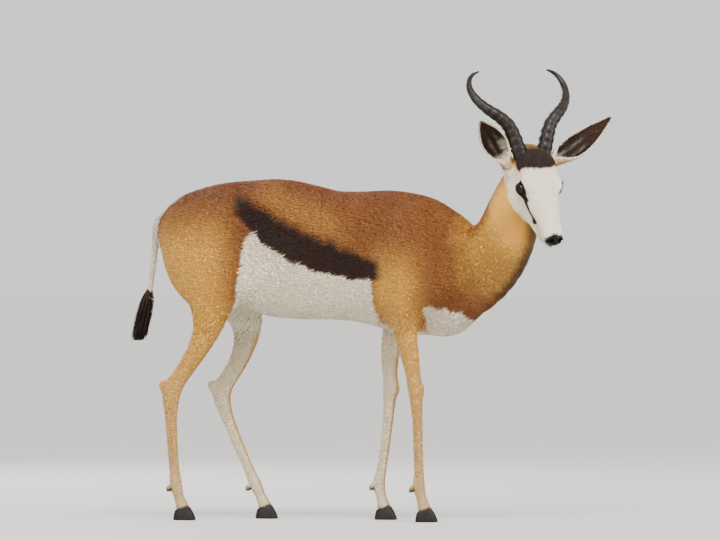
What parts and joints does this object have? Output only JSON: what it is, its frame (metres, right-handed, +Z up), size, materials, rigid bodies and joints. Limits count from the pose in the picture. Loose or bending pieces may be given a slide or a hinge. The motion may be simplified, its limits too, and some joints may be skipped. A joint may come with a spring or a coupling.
{
  "type": "springbok",
  "caption": "Life-size standing springbok ram with its head turned to its right, lyre-shaped ringed horns, slender legs and cloven hooves, for display.",
  "frame": {"origin": "centre of the bounding box on the floor, under the animal", "axes": "the trunk faces -Y, its right side is at -X, +Z up; the head is turned towards -X and -Y"},
  "size_m": [0.3178, 1.1958, 1.0987],
  "materials": {
    "horn": "dark ringed horn, slightly glossy",
    "hoof": "black hoof horn",
    "eye": "dark wet eye",
    "ear_coat": "short fawn and white hair, dark inside",
    "dark_tuft": "long black-brown tail hair",
    "white_coat": "short white hair",
    "tan_coat": "short cinnamon hair with a chocolate flank band and white belly",
    "leg_coat": "very short fawn and white hair"
  },
  "bodies": {
    "root": {"ear_left": "ear_coat", "ear_right": "ear_coat", "eye_left": "eye", "eye_right": "eye", "fore_left_cannon": "leg_coat", "fore_left_hoof_inner": "hoof", "fore_left_hoof_outer": "hoof", "fore_left_pastern": "leg_coat", "fore_left_upper": "tan_coat", "fore_right_cannon": "leg_coat", "fore_right_hoof_inner": "hoof", "fore_right_hoof_outer": "hoof", "fore_right_pastern": "leg_coat", "fore_right_upper": "tan_coat", "head": "white_coat", "hind_left_cannon": "leg_coat", "hind_left_hoof_inner": "hoof", "hind_left_hoof_outer": "hoof", "hind_left_pastern": "leg_coat", "hind_left_upper": "tan_coat", "hind_right_cannon": "leg_coat", "hind_right_hoof_inner": "hoof", "hind_right_hoof_outer": "hoof", "hind_right_pastern": "leg_coat", "hind_right_upper": "tan_coat", "horn_left": "horn", "horn_right": "horn", "neck": "tan_coat", "tail": "white_coat", "tail_tuft": "dark_tuft", "torso": "tan_coat"}
  },
  "joints": []
}
